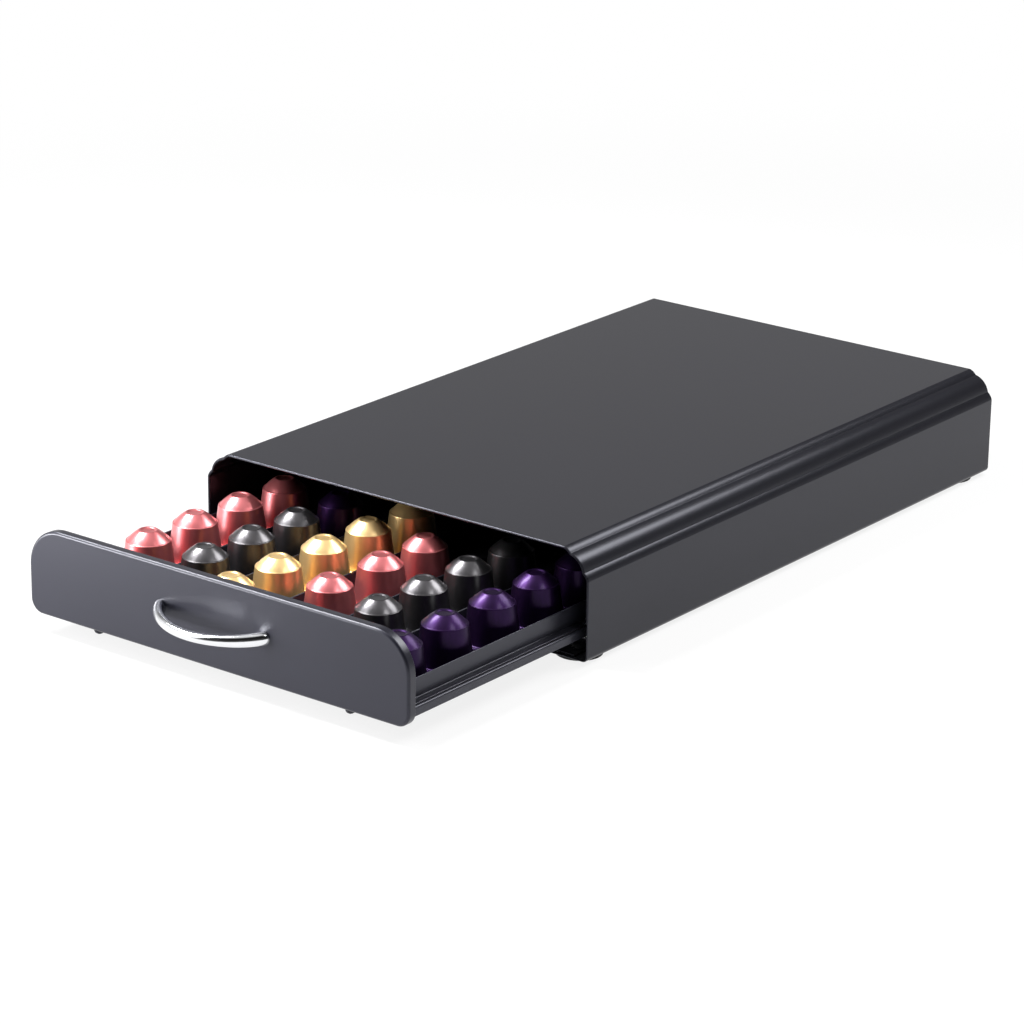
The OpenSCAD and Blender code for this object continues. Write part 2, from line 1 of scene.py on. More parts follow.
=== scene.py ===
"""Looks of the coffee pod drawer: a flat powder-coated cabinet, its open drawer and the capsules in it.

Lengths are millimetres in the row frame, with the drawer at its rest place. Only the lamps and the
floor's sizes are in metres. Meshes are made in metres by multiplying with MM.
"""
from collections import namedtuple
from math import asin, atan2, cos, hypot, pi, radians, sin, tan

import bmesh
import bpy
from mathutils import Matrix, Vector


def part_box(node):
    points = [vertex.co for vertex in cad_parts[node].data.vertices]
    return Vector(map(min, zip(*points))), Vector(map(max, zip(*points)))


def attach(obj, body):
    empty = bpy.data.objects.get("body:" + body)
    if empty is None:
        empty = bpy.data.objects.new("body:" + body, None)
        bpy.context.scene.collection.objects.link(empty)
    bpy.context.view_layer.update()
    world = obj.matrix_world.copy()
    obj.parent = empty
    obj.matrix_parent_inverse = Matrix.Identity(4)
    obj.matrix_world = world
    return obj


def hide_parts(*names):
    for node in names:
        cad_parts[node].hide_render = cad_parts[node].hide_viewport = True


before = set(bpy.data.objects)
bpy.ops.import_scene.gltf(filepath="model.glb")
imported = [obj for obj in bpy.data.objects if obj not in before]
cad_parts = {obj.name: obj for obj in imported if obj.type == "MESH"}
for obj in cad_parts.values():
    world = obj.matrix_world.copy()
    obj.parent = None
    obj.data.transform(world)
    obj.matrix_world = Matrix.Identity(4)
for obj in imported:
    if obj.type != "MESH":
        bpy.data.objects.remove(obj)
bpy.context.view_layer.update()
scene = bpy.context.scene

MM = 0.001
CABINET = "cabinet"
DRAWER = "drawer"


def corners_of(node):
    """Low and high corner of a CAD node's box, in millimetres."""
    return [[round(v / MM, 3) for v in corner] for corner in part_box(node)]


# ---- Sizes ----

# Cabinet: its outside is the CAD shell's
(_, Y_FRONT, FLANGE_Z), (HALF_W, Y_REAR, TOP_Z) = corners_of("shell")
BACK_RIM = Y_REAR - corners_of("back_panel")[0][1]
RAIL_TOP = corners_of("rail_right")[1][2]
SHEET = 0.8
FLANGE_W = 36.0         # width of the bottom flanges
FOOT_BEND = 3.0         # outer bend at the foot of each side
HEM_RISE = 2.8          # distance of the hem's lower ends above the rails
HEM_LOW = RAIL_TOP + HEM_RISE
HEM_DEPTH = 15.0

# Moulded corner between side and top: a strip, a bead between two coves, and a strip
CORNER = 16.2           # distance of the creases from the sharp corner
CREASE_R = 1.0
COVE_R = 0.7
COVE_RUN = 4.3
COVE_DROP = 2.9
BEAD_RISE = 1.9
BEAD_STEPS = 14
STRIP_RISE = 0.45
STRIP_STEPS = 6
CORNER_STEPS = 6        # faces of each rounded crease, cove and bend

# Front panel: its outside is the CAD panel's
(_, FACE_Y, PANEL_LOW), (PANEL_X, PANEL_REAR, PANEL_HIGH) = corners_of("front_panel")
PANEL_SHEET = 1.0
PANEL_BEND = 1.5        # depth of the bend round the face
PANEL_BEND_WIDE = 1.7   # width of that bend on the face
PANEL_TOP_R = 22.0
PANEL_LOW_R = 8.0

# Handle
HANDLE_HALF = 35.6      # from the middle to a foot's middle
HANDLE_FOOT = 7.2       # width of a foot on the panel
HANDLE_BOW = 18.5       # how far the bar's middle line stands out
HANDLE_T = 5.3
HANDLE_MID_H = 5.3
HANDLE_END_H = 7.6
HANDLE_Z = 35.4
HANDLE_DROP = 1.6       # how far the middle lies below the feet
HANDLE_POWER = 1.45     # 1 gives an ellipse in plan, more gives a sharper bow

# Lanes and capsules
FLOOR_Z = corners_of("pod_lids")[0][2]
LANE_PITCH = 40.0
POD_PITCH = 37.2
FIRST_POD = FACE_Y + 20.6   # middle of the foremost capsule


# ---- Nodes of the materials ----

MIDDLE_LOW, MIDDLE_HIGH = 0.3, 0.7  # the range in which most of a noise lies


def link_all(tree, *pairs):
    """Links each pair of an output and an input."""
    for source, target in pairs:
        tree.links.new(source, target)


def noise(tree, coords, size, detail=2.0, rough=0.5):
    """A noise whose lumps measure about size, in millimetres."""
    node = tree.nodes.new("ShaderNodeTexNoise")
    node.inputs["Scale"].default_value = 1.0 / (size * MM)
    node.inputs["Detail"].default_value = detail
    node.inputs["Roughness"].default_value = rough
    tree.links.new(coords, node.inputs["Vector"])
    return node.outputs["Fac"]


def smooth_step(tree, value, low, high, to_low, to_high):
    """Maps low to to_low and high to to_high, with a smooth change between them."""
    node = tree.nodes.new("ShaderNodeMapRange")
    node.interpolation_type = "SMOOTHSTEP"
    for name, number in (("From Min", low), ("From Max", high), ("To Min", to_low), ("To Max", to_high)):
        node.inputs[name].default_value = number
    tree.links.new(value, node.inputs["Value"])
    return node.outputs["Result"]


def two_tones(tree, value, low, high):
    """A colour between low and high, by a noise."""
    node = tree.nodes.new("ShaderNodeValToRGB")
    ramp = node.color_ramp
    ramp.interpolation = "EASE"
    for stop, place, colour in zip(ramp.elements, (MIDDLE_LOW, MIDDLE_HIGH), (low, high)):
        stop.position = place
        stop.color = (*colour, 1.0)
    tree.links.new(value, node.inputs["Fac"])
    return node.outputs["Color"]


def bump(tree, height, depth):
    """A bump of that depth, in millimetres."""
    node = tree.nodes.new("ShaderNodeBump")
    node.inputs["Distance"].default_value = depth * MM
    tree.links.new(height, node.inputs["Height"])
    return node.outputs["Normal"]


def combine(tree, operation, first, second, clamp=False):
    """Two values joined by a math operation."""
    node = tree.nodes.new("ShaderNodeMath")
    node.operation = operation
    node.use_clamp = clamp
    link_all(tree, (first, node.inputs[0]), (second, node.inputs[1]))
    return node.outputs["Value"]


def blank(name):
    """A material with one Principled shader, and the coordinates of its object."""
    mat = bpy.data.materials.new(name)
    mat.use_nodes = True
    tree = mat.node_tree
    shader = tree.nodes["Principled BSDF"]
    coords = tree.nodes.new("ShaderNodeTexCoord").outputs["Object"]
    return mat, tree, shader, coords


def surface(tree, shader, colour, gloss, rough, height, depth):
    """Links a colour, a roughness that a noise spreads over rough, and a fine relief."""
    link_all(
        tree,
        (colour, shader.inputs["Base Color"]),
        (smooth_step(tree, gloss, MIDDLE_LOW, MIDDLE_HIGH, *rough), shader.inputs["Roughness"]),
        (bump(tree, height, depth), shader.inputs["Normal"]),
    )


def finish(name, low, high, rough, tone_size, grain, grain_depth, metallic=0.0, specular=0.5,
           tint=(1.0, 1.0, 1.0), coat=0.0, coat_rough=0.1):
    """Paint, plastic, rubber or metal: two close tones, a varying gloss and a fine grain."""
    mat, tree, shader, coords = blank(name)
    tones = noise(tree, coords, tone_size, detail=3.0)
    fine = noise(tree, coords, grain, detail=3.0, rough=0.6)
    shader.inputs["Metallic"].default_value = metallic
    shader.inputs["Specular IOR Level"].default_value = specular
    shader.inputs["Specular Tint"].default_value = (*tint, 1.0)
    shader.inputs["Coat Weight"].default_value = coat
    shader.inputs["Coat Roughness"].default_value = coat_rough
    surface(tree, shader, two_tones(tree, tones, low, high), tones, rough, fine, grain_depth)
    return mat


def capsule_metal(name, low, high, metallic=0.8, rough=(0.30, 0.36), coat=0.3):
    """Lacquered aluminium, with the faint upright lines that deep drawing leaves."""
    line_width = 1.6
    line_squeeze = 0.08
    line_depth = 0.003
    tone_size = 14.0
    lacquer_rough = 0.16
    mat, tree, shader, coords = blank(name)
    stretch = tree.nodes.new("ShaderNodeMapping")
    stretch.inputs["Scale"].default_value = (1.0, 1.0, line_squeeze)
    tree.links.new(coords, stretch.inputs["Vector"])
    lines = noise(tree, stretch.outputs["Vector"], line_width)
    tones = noise(tree, coords, tone_size)
    shader.inputs["Metallic"].default_value = metallic
    shader.inputs["Coat Weight"].default_value = coat
    shader.inputs["Coat Roughness"].default_value = lacquer_rough
    surface(tree, shader, two_tones(tree, tones, low, high), lines, rough, lines, line_depth)
    return mat


# ---- Materials ----

COAT_GRAIN = {"tone_size": 150.0, "grain": 1.1, "grain_depth": 0.002}
PAINT_TINT = (0.82, 0.83, 1.0)
PANEL_TINT = (0.62, 0.64, 1.0)

coat_black = finish("powder_coat", (0.0079, 0.0079, 0.0105), (0.0088, 0.0088, 0.0118),
                    (0.276, 0.290), specular=0.35, tint=PAINT_TINT, **COAT_GRAIN)
coat_panel = finish("powder_coat_panel", (0.0080, 0.0080, 0.0125), (0.0090, 0.0090, 0.0145),
                    (0.39, 0.41), specular=0.20, tint=PANEL_TINT, coat=0.6, coat_rough=0.30,
                    **COAT_GRAIN)
coat_tray = finish("powder_coat_tray", (0.0130, 0.0132, 0.0180), (0.0150, 0.0152, 0.0210),
                   (0.34, 0.37), tint=PAINT_TINT, **COAT_GRAIN)
coat_rail = finish("powder_coat_rail", (0.0080, 0.0080, 0.0110), (0.0100, 0.0100, 0.0130),
                   (0.38, 0.42), specular=0.45, tint=PAINT_TINT, **COAT_GRAIN)
chrome = finish("chrome", (0.80, 0.81, 0.83), (0.84, 0.85, 0.87), (0.12, 0.15),
                tone_size=12.0, grain=6.0, grain_depth=0.004, metallic=1.0)
zinc = finish("zinc_plate", (0.50, 0.51, 0.50), (0.62, 0.63, 0.61), (0.30, 0.42),
              tone_size=3.0, grain=0.6, grain_depth=0.01, metallic=1.0)
nylon = finish("nylon", (0.66, 0.66, 0.62), (0.72, 0.72, 0.68), (0.40, 0.52),
               tone_size=8.0, grain=0.9, grain_depth=0.01)
rubber = finish("rubber", (0.014, 0.014, 0.015), (0.022, 0.022, 0.022), (0.58, 0.72),
                tone_size=5.0, grain=0.5, grain_depth=0.02, specular=0.35)
foil = finish("foil", (0.70, 0.70, 0.71), (0.78, 0.78, 0.79), (0.28, 0.36),
              tone_size=6.0, grain=1.5, grain_depth=0.03, metallic=1.0)
rose = capsule_metal("capsule_rose", (0.62, 0.165, 0.175), (0.68, 0.19, 0.20))
graphite = capsule_metal("capsule_graphite", (0.078, 0.075, 0.080), (0.095, 0.091, 0.097),
                         metallic=0.92)
gold = capsule_metal("capsule_gold", (0.90, 0.62, 0.27), (0.95, 0.68, 0.32))
purple = capsule_metal("capsule_purple", (0.019, 0.0058, 0.040), (0.024, 0.0072, 0.048),
                       metallic=0.92, rough=(0.36, 0.42), coat=0.1)


# ---- Mesh tools ----

WELD = 0.002            # corners of a CAD mesh closer than this are one
FLAT_ANGLE = 0.5        # degrees: faces that turn by less are one flat face
SHARP_ANGLE = 30.0      # degrees: edges that turn by more are rounded
SMALLEST_BEND = 0.15


def loft(bm, rings):
    """Joins closed rings of equally many points with faces, and closes both ends."""
    rows = [[bm.verts.new(Vector(p) * MM) for p in ring] for ring in rings]
    count = len(rows[0])
    for near, far in zip(rows, rows[1:]):
        for i in range(count):
            j = (i + 1) % count
            bm.faces.new((near[i], near[j], far[j], far[i]))
    bm.faces.new(list(reversed(rows[0])))
    bm.faces.new(rows[-1])


def turned(bm, profile, centre, steps):
    """Turns a profile of (radius, height), which starts and ends on the axis, into a closed form.

    The axis is upright through centre, from which the heights count. The faces are returned.
    """
    cx, cy, cz = centre
    turns = [2 * pi * k / steps for k in range(steps)]
    rings = []
    for r, h in profile:
        if r == 0:
            ring = [(cx, cy, cz + h)]
        else:
            ring = [(cx + r * cos(a), cy + r * sin(a), cz + h) for a in turns]
        rings.append([bm.verts.new(Vector(p) * MM) for p in ring])
    made = []
    for near, far in zip(rings, rings[1:]):
        for k in range(steps):
            m = (k + 1) % steps
            if len(near) == 1:
                made.append(bm.faces.new((near[0], far[k], far[m])))
            elif len(far) == 1:
                made.append(bm.faces.new((near[k], far[0], near[m])))
            else:
                made.append(bm.faces.new((near[k], far[k], far[m], near[m])))
    return made


def piece(name, bm, materials, body, nodes):
    """Makes an object of the mesh, with smooth bends beside flat faces, and hangs it on its body."""
    mesh = bpy.data.meshes.new(name)
    bmesh.ops.recalc_face_normals(bm, faces=bm.faces)
    bm.to_mesh(mesh)
    bm.free()
    mesh.shade_smooth()
    for mat in materials:
        mesh.materials.append(mat)
    obj = bpy.data.objects.new(name, mesh)
    scene.collection.objects.link(obj)
    weights = obj.modifiers.new("flat_faces_stay_flat", "WEIGHTED_NORMAL")
    weights.keep_sharp = True
    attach(obj, body)
    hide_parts(*nodes)


def dressed(node, material, body, edge, steps=2):
    """A copy of a sheet-metal or moulded solid with its edges rounded by edge."""
    bm = bmesh.new()
    bm.from_mesh(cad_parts[node].data)
    bmesh.ops.remove_doubles(bm, verts=bm.verts, dist=WELD * MM)
    bmesh.ops.dissolve_limit(bm, angle_limit=radians(FLAT_ANGLE), verts=bm.verts, edges=bm.edges)
    sharp = [e for e in bm.edges if e.is_manifold and e.calc_face_angle() > radians(SHARP_ANGLE)]
    bmesh.ops.bevel(bm, geom=sharp, offset=edge * MM, segments=steps, affect="EDGES", profile=0.5,
                    clamp_overlap=True)
    piece(node + "_dressed", bm, (material,), body, [node])


def left_normal(p, q):
    """Unit vector to the left of the way from p to q."""
    length = hypot(q[0] - p[0], q[1] - p[1])
    return ((p[1] - q[1]) / length, (q[0] - p[0]) / length)


def offset_corners(corners, d):
    """Corners (x, z, radius) of an open path moved to its left by d, with mitred corners."""
    moved = []
    for i, (x, z, r) in enumerate(corners):
        before = left_normal(corners[i - 1], corners[i]) if i else None
        after = left_normal(corners[i], corners[i + 1]) if i < len(corners) - 1 else None
        a = before or after
        b = after or before
        k = d / (1 + a[0] * b[0] + a[1] * b[1])
        moved.append((x + (a[0] + b[0]) * k, z + (a[1] + b[1]) * k, r))
    return moved


def rounded_path(corners, d):
    """The path moved to its left by d, with each corner that has a radius rounded."""
    moved = offset_corners(corners, d)
    path = []
    for i, (x, z, r) in enumerate(moved):
        if not r:
            path.append((x, z))
            continue
        a = left_normal(moved[i - 1], moved[i])
        b = left_normal(moved[i], moved[i + 1])
        turn = atan2(a[0] * b[1] - a[1] * b[0], a[0] * b[0] + a[1] * b[1])
        radius = max(r - d, SMALLEST_BEND) if turn > 0 else r + d
        side = 1.0 if turn > 0 else -1.0
        reach = radius * tan(abs(turn) / 2)
        start = (x - a[1] * reach, z + a[0] * reach)
        centre = (start[0] + side * a[0] * radius, start[1] + side * a[1] * radius)
        a0 = atan2(start[1] - centre[1], start[0] - centre[0])
        for k in range(CORNER_STEPS + 1):
            angle = a0 + turn * k / CORNER_STEPS
            path.append((centre[0] + radius * cos(angle), centre[1] + radius * sin(angle)))
    return path


def arc_points(p, q, rise, count):
    """Points between p and q on an arc that rises to the right of p-q, without its ends."""
    dx, dz = q[0] - p[0], q[1] - p[1]
    chord = hypot(dx, dz)
    r = (chord * chord / 4 + rise * rise) / (2 * rise)
    side = (dz / chord, -dx / chord)
    centre = ((p[0] + q[0]) / 2 - side[0] * (r - rise), (p[1] + q[1]) / 2 - side[1] * (r - rise))
    a0 = atan2(p[1] - centre[1], p[0] - centre[0])
    turn = 2 * asin(chord / 2 / r)
    angles = [a0 + turn * k / count for k in range(1, count)]
    return [(centre[0] + r * cos(a), centre[1] + r * sin(a)) for a in angles]


def bend(cx, cz, r, a0, a1, steps):
    """Points of an arc round (cx, cz) from the angle a0 to a1, in degrees, with its ends."""
    angles = [radians(a0 + (a1 - a0) * k / steps) for k in range(steps + 1)]
    return [(cx + r * cos(a), cz + r * sin(a)) for a in angles]


# ---- Cabinet ----

HEM_END = 0.05          # height over which the hem ends
NO_HEM_STEP = 0.02      # what is left of it below that, so that each ring has as many points


def shell_path():
    """Outer face of the shell's section, from the right flange's edge over the top to the left."""
    side_crease = (HALF_W, TOP_Z - CORNER)
    top_crease = (HALF_W - CORNER, TOP_Z)
    low_cove = (HALF_W - COVE_DROP, TOP_Z - CORNER + COVE_RUN)
    high_cove = (HALF_W - CORNER + COVE_RUN, TOP_Z - COVE_DROP)
    corner_up = (
        [(*side_crease, CREASE_R)]
        + [(*p, 0.0) for p in arc_points(side_crease, low_cove, STRIP_RISE, STRIP_STEPS)]
        + [(*low_cove, COVE_R)]
        + [(*p, 0.0) for p in arc_points(low_cove, high_cove, BEAD_RISE, BEAD_STEPS)]
        + [(*high_cove, COVE_R)]
        + [(*p, 0.0) for p in arc_points(high_cove, top_crease, STRIP_RISE, STRIP_STEPS)]
        + [(*top_crease, CREASE_R)]
    )
    foot = [(HALF_W - FLANGE_W, FLANGE_Z, 0.0), (HALF_W, FLANGE_Z, FOOT_BEND)]
    hem_end = [(HALF_W, HEM_LOW - HEM_END, 0.0), (HALF_W, HEM_LOW, 0.0)]
    right_half = foot + hem_end + corner_up
    return right_half + [(-x, z, r) for x, z, r in reversed(right_half)]


shell_corners = shell_path()


def shell_ring(total, inset):
    """Section of the shell's sheet from front to back, as (y, depth below the outer face).

    total is the thickness at the front: the sheet alone, or the sheet with its hem. The section
    is cut smaller all round by inset.
    """
    edge = 0.25
    edge_mid = 0.07
    fold = total / 2
    hem_y = Y_FRONT + HEM_DEPTH
    steps = 8
    ring = [(Y_REAR - edge, 0.0)]
    for k in range(steps + 1):
        a = pi * k / steps
        ring.append((Y_FRONT + fold - fold * sin(a), fold - fold * cos(a)))
    ring += [
        (hem_y - edge, total),
        (hem_y - edge_mid, max(total - edge_mid, SHEET + 0.6 * NO_HEM_STEP)),
        (hem_y, max(total - edge, SHEET + 0.3 * NO_HEM_STEP)),
        (hem_y + NO_HEM_STEP, SHEET),
        (Y_REAR - edge, SHEET), (Y_REAR - edge_mid, SHEET - edge_mid), (Y_REAR, SHEET - edge),
        (Y_REAR, edge), (Y_REAR - edge_mid, edge_mid),
    ]
    return [(min(max(y, Y_FRONT + inset), Y_REAR - inset), min(max(d, inset), total - inset))
            for y, d in ring]


def make_shell():
    """One sheet over sides, moulded corners and top, with bottom flanges and the front's hem."""
    paths = {}

    def section(station, ring, shift=0.0):
        """Points of a ring at one station of the path, moved aside by shift."""
        points = []
        for y, depth in ring:
            key = round(depth, 4)
            if key not in paths:
                paths[key] = rounded_path(shell_corners, depth)
            x, z = paths[key][station]
            points.append((x + shift, y, z))
        return points

    single = SHEET + NO_HEM_STEP
    outer = rounded_path(shell_corners, 0.0)
    last = len(outer) - 1
    rings = [section(i, shell_ring(2 * SHEET if z > HEM_LOW - HEM_END / 2 else single, 0.0))
             for i, (_, z) in enumerate(outer[1:last], 1)]
    edge_cuts = ((0.0, 0.2), (0.06, 0.06), (0.2, 0.0))  # (distance from the flange's edge, inset)
    right_edge = [section(0, shell_ring(single, inset), shift) for shift, inset in edge_cuts]
    left_edge = [section(last, shell_ring(single, inset), -shift) for shift, inset in edge_cuts]
    bm = bmesh.new()
    loft(bm, right_edge + rings + left_edge[::-1])
    piece("cabinet_shell", bm, (coat_black,), CABINET, ["shell"])


def make_back_panel():
    """Plate with a rim folded forwards, which stops above the bottom flanges."""
    fold = 1.2
    inner_fold, inner_mid = 0.6, 0.18
    edge = 0.2
    stub = 0.1              # what is left of the rim near the bottom
    steps = 6
    plate = Y_REAR - SHEET
    rim_y = Y_REAR - BACK_RIM
    stations = [
        (plate, SHEET + inner_fold), (plate - inner_mid, SHEET + inner_mid),
        (plate - inner_fold, SHEET),
        (rim_y + edge, SHEET), (rim_y, SHEET - edge), (rim_y, edge), (rim_y + edge, 0.0),
    ]
    for k in range(steps + 1):
        a = pi / 2 * k / steps
        stations.append((Y_REAR - fold + fold * sin(a), fold - fold * cos(a)))
    outer = rounded_path(shell_corners, SHEET)
    rings = []
    for y, depth in stations:
        ring = []
        for (x, z), (_, outer_z) in zip(rounded_path(shell_corners, SHEET + depth), outer):
            without_rim = outer_z < FLANGE_Z + SHEET + FOOT_BEND
            ring.append((x, max(y, plate - stub) if without_rim else y, z))
        rings.append(ring)
    bm = bmesh.new()
    loft(bm, rings)
    piece("cabinet_back", bm, (coat_black,), CABINET, ["back_panel"])


def make_foot(node):
    """A rubber foot: disc with rounded edges, stem and barb."""
    (x0, y0, _), (x1, y1, top) = corners_of(node)
    radius = (x1 - x0) / 2
    height = FLANGE_Z
    edge, edge_steps, flat_ring = 0.9, 6, 3.0
    brim, brim_mid = 0.3, 0.09
    stem, barb, bevel = 3.5, 4.6, 0.1
    barb_low, barb_high = 3.8, 4.15
    tip = ((3.1, top - 0.2), (2.9, top - 0.03), (2.6, top))
    profile = [(0.0, 0.0), (radius - edge - flat_ring, 0.0)]
    profile += bend(radius - edge, edge, edge, -90.0, 0.0, edge_steps)
    profile += [
        (radius, height - brim), (radius - brim_mid, height - brim_mid), (radius - brim, height),
        (stem + bevel, height), (stem, height + bevel),
        (stem, barb_low - bevel / 2), (stem + bevel, barb_low),
        (barb - bevel, barb_low), (barb, barb_low + bevel), (barb - bevel, barb_high),
        *tip, (0.0, top),
    ]
    bm = bmesh.new()
    turned(bm, profile, ((x0 + x1) / 2, (y0 + y1) / 2, 0.0), steps=96)
    piece(node + "_rubber", bm, (rubber,), CABINET, [node])


make_shell()
make_back_panel()
for place in ("front_left", "front_right", "rear_left", "rear_right"):
    make_foot("foot_" + place)
for side in ("left", "right"):
    dressed("rail_" + side, coat_rail, CABINET, edge=0.2)
    dressed("glide_" + side, nylon, CABINET, edge=0.25)
    dressed("stop_" + side, nylon, CABINET, edge=0.5, steps=3)
for node in ("front_crossbar", "rear_crossbar"):
    dressed(node, coat_rail, CABINET, edge=0.15)
dressed("crossbar_rivets", zinc, CABINET, edge=0.15)
dressed("rear_bumpers", rubber, CABINET, edge=0.8, steps=4)


# ---- Drawer ----

def panel_outline(d):
    """Outline of the front panel in x and z, smaller all round by d."""
    x1, z0, z1 = PANEL_X - d, PANEL_LOW + d, PANEL_HIGH - d
    top_r, low_r = PANEL_TOP_R - d, PANEL_LOW_R - d
    steps = 14
    return (
        bend(x1 - low_r, z0 + low_r, low_r, -90.0, 0.0, steps)
        + bend(x1 - top_r, z1 - top_r, top_r, 0.0, 90.0, steps)
        + bend(top_r - x1, z1 - top_r, top_r, 90.0, 180.0, steps)
        + bend(low_r - x1, z0 + low_r, low_r, 180.0, 270.0, steps)
    )


def make_panel():
    """Shallow pan: flat face, a bend all round it, and a rim folded back."""
    edge, edge_mid = 0.3, 0.09
    steps = 8
    deep, wide = PANEL_BEND - PANEL_SHEET, PANEL_BEND_WIDE - PANEL_SHEET
    bends = [pi / 2 * k / steps for k in range(steps + 1)]
    stations = [(FACE_Y + PANEL_BEND - deep * cos(a), PANEL_BEND_WIDE - wide * sin(a)) for a in bends]
    stations += [
        (PANEL_REAR - edge, PANEL_SHEET), (PANEL_REAR - edge_mid, PANEL_SHEET - edge_mid),
        (PANEL_REAR, PANEL_SHEET - edge),
        (PANEL_REAR, edge), (PANEL_REAR - edge_mid, edge_mid), (PANEL_REAR - edge, 0.0),
    ]
    stations += [(FACE_Y + PANEL_BEND * (1 - sin(a)), PANEL_BEND_WIDE * (1 - cos(a))) for a in bends]
    bm = bmesh.new()
    loft(bm, [[(x, y, z) for x, z in panel_outline(d)] for y, d in stations])
    piece("drawer_front", bm, (coat_panel,), DRAWER, ["front_panel"])


def handle_point(widen, turn):
    """Point in plan beside the bar's middle line: widen is 1 on its outer face and -1 on its inner."""
    half = HANDLE_HALF + widen * HANDLE_FOOT / 2
    bow = HANDLE_BOW + widen * HANDLE_T / 2
    return Vector((half * cos(turn), FACE_Y - bow * max(sin(turn), 0.0) ** HANDLE_POWER))


def make_handle():
    """A bowed bar with an oval section, thicker and taller towards its ends on the panel."""
    stations = 72
    around = 32
    rings = []
    for i in range(stations + 1):
        turn = pi * (1 - i / stations)
        outer, inner = handle_point(1, turn), handle_point(-1, turn)
        middle, across = (outer + inner) / 2, (outer - inner) / 2
        end = min((middle.x / HANDLE_HALF) ** 2, 1.0)
        up = (HANDLE_MID_H + (HANDLE_END_H - HANDLE_MID_H) * end) / 2
        level = HANDLE_Z - HANDLE_DROP * (1 - end)
        ring = []
        for k in range(around):
            a = 2 * pi * k / around
            side = middle + across * cos(a)
            ring.append((side.x, side.y, level + up * sin(a)))
        rings.append(ring)
    bm = bmesh.new()
    loft(bm, rings)
    piece("drawer_handle", bm, (chrome,), DRAWER, ["handle"])


def capsule_profile():
    """Outer face from the middle of the top to the rolled rim, then the inner face back up.

    Its points are (radius, height above the lane). A bend has its middle's place and its radius.
    """
    dimple_r, dimple_z = 3.2, 26.35
    crest_r, crest_rise, crest_bend = 4.8, 0.6, 1.5
    crest_steps = 6
    cone_foot, cone_rise = (11.54, 21.52), 0.26
    shoulder_bend = (11.74, 20.84, 0.6)
    wall_foot = [(14.75, 2.4), (14.85, 1.6)]
    flange_bend = (15.5, 1.25, 0.55)
    flange_end = (17.3, 0.7)
    rim_roll = (17.95, 0.72, 0.5)
    inner_face = [(17.0, 0.2), (15.0, 0.2), (14.5, 0.7), (14.3, 2.4), (11.75, 20.5), (11.1, 21.1),
                  (5.0, 26.0), (4.3, 26.1), (3.6, 25.9), (0.0, 25.9)]
    profile = [(0.0, dimple_z)]
    for k in range(crest_steps):
        share = k / crest_steps
        rise = crest_rise / 2 * (1 - cos(pi * share))
        profile.append((dimple_r + (crest_r - dimple_r) * share, dimple_z + rise))
    profile += bend(crest_r, dimple_z + crest_rise - crest_bend, crest_bend, 90.0, 58.0, 5)
    profile += reversed(arc_points(cone_foot, profile[-1], cone_rise, 6))
    profile += [cone_foot]
    profile += bend(*shoulder_bend, 100.0, 7.8, 10)
    profile += wall_foot
    profile += bend(*flange_bend, 180.0, 265.0, 4)
    profile += [flange_end]
    profile += bend(*rim_roll, 165.0, -90.0, 10)
    return profile + inner_face


# A lane's first capsule stands start behind FIRST_POD, and the gaps behind the first and the second
# one are wider by gap_1 and gap_2.
Lane = namedtuple("Lane", "slot materials start gap_1 gap_2 count")
LANES = (
    Lane("capsule_rose", (rose,), 2.5, 0.0, 0.0, 5),
    Lane("capsule_grey", (graphite, purple), 3.5, 0.0, 0.0, 5),
    Lane("capsule_gold", (gold,), 16.5, 0.0, 0.0, 5),
    Lane("capsule_rose", (rose,), 0.0, 11.5, 4.5, 4),
    Lane("capsule_grey", (graphite,), 3.0, 0.0, 0.0, 5),
    Lane("capsule_purple", (purple,), 7.5, 0.0, 2.0, 5),
)
LID_R = 18.28
LID_T = 0.15
LID_EDGE_R = 18.15
LID_EDGE_T = 0.05


def make_capsules():
    """The capsules, one piece for each lane, and all their lids. A lane's last may differ in colour."""
    profile = capsule_profile()
    lid_profile = [(0.0, 0.0), (LID_EDGE_R, 0.0), (LID_R, LID_EDGE_T), (LID_R, LID_T - LID_EDGE_T),
                   (LID_EDGE_R, LID_T), (0.0, LID_T)]
    lids = bmesh.new()
    for number, lane in enumerate(LANES, 1):
        bm = bmesh.new()
        x = (number - (len(LANES) + 1) / 2) * LANE_PITCH
        for i in range(lane.count):
            y = FIRST_POD + lane.start + i * POD_PITCH
            y += lane.gap_1 if i > 0 else 0.0
            y += lane.gap_2 if i > 1 else 0.0
            faces = turned(bm, profile, (x, y, FLOOR_Z), steps=72)
            if i == lane.count - 1:
                for face in faces:
                    face.material_index = len(lane.materials) - 1
            turned(lids, lid_profile, (x, y, FLOOR_Z), steps=48)
        piece(f"capsules_lane_{number}", bm, lane.materials, DRAWER, [f"pods_lane_{number}"])
    piece("capsule_lids", lids, (foil,), DRAWER, ["pod_lids"])


make_panel()
make_handle()
make_capsules()
dressed("tray_base", coat_tray, DRAWER, edge=0.2)
dressed("rear_wall", coat_tray, DRAWER, edge=0.36, steps=4)
for k in range(1, len(LANES)):
    dressed(f"divider_{k}", coat_tray, DRAWER, edge=0.36, steps=4)
for side in ("left", "right"):
    dressed("side_wall_" + side, coat_tray, DRAWER, edge=0.36, steps=4)
    dressed("skid_" + side, coat_rail, DRAWER, edge=0.2)
    dressed("shoe_" + side, nylon, DRAWER, edge=0.4, steps=3)
dressed("shoe_rivets", zinc, DRAWER, edge=0.15)
dressed("handle_screws", zinc, DRAWER, edge=0.3, steps=3)


# ---- Studio ----

